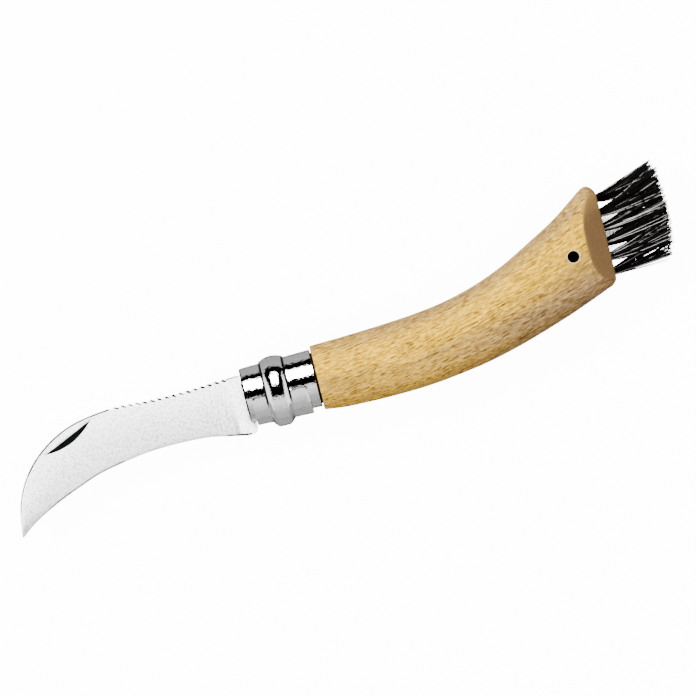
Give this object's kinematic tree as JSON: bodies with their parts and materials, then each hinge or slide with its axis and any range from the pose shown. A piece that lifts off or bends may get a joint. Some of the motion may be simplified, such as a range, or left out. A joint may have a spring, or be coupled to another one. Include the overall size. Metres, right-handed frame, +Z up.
{
  "type": "folding mushroom knife",
  "caption": "Folding mushroom knife: curved wooden handle with a bristle brush, notched hawkbill blade and turning lock ring.",
  "frame": {"origin": "centre of the bottom of the bounding box, on the surface the knife lies on", "axes": "+X from the blade's tip to the brush along the collar's axis, +Y from the cutting edge to the spine, +Z up along the pivot pin"},
  "size_m": [0.2138, 0.0656, 0.0211],
  "materials": {
    "beech": "light oiled beech with short dark pores along the grain",
    "polished_steel": "mirror-polished stainless steel",
    "satin_steel": "finely ground satin stainless steel",
    "black_bristle": "stiff black bristle with a slight sheen",
    "anchor_wire": "plain flat wire"
  },
  "bodies": {
    "handle": {"handle": "beech", "fixed_collar": "polished_steel", "pivot_pin": "polished_steel", "bristle_tuft_01": "black_bristle", "bristle_tuft_02": "black_bristle", "bristle_tuft_03": "black_bristle", "bristle_tuft_04": "black_bristle", "bristle_tuft_05": "black_bristle", "bristle_tuft_06": "black_bristle", "bristle_tuft_07": "black_bristle", "bristle_tuft_08": "black_bristle", "bristle_tuft_09": "black_bristle", "bristle_tuft_10": "black_bristle", "bristle_tuft_11": "black_bristle", "bristle_tuft_12": "black_bristle", "bristle_tuft_13": "black_bristle", "bristle_tuft_14": "black_bristle", "tuft_anchor_01": "anchor_wire", "tuft_anchor_02": "anchor_wire", "tuft_anchor_03": "anchor_wire", "tuft_anchor_04": "anchor_wire", "tuft_anchor_05": "anchor_wire", "tuft_anchor_06": "anchor_wire", "tuft_anchor_07": "anchor_wire", "tuft_anchor_08": "anchor_wire", "tuft_anchor_09": "anchor_wire", "tuft_anchor_10": "anchor_wire", "tuft_anchor_11": "anchor_wire", "tuft_anchor_12": "anchor_wire", "tuft_anchor_13": "anchor_wire", "tuft_anchor_14": "anchor_wire"},
    "blade": {"blade": "satin_steel"},
    "locking_ring": {"locking_ring": "polished_steel"}
  },
  "joints": [
    {"name": "blade_fold", "type": "hinge", "parent": "handle", "child": "blade", "pos_m": [-0.02131, -0.0094, 0.01056], "axis": [0, 0, 1], "range_deg": [0, 176]},
    {"name": "ring_turn", "type": "hinge", "parent": "handle", "child": "locking_ring", "pos_m": [-0.02131, -0.0072, 0.01056], "axis": [1, 0, 0], "range_deg": [0, 60]}
  ]
}
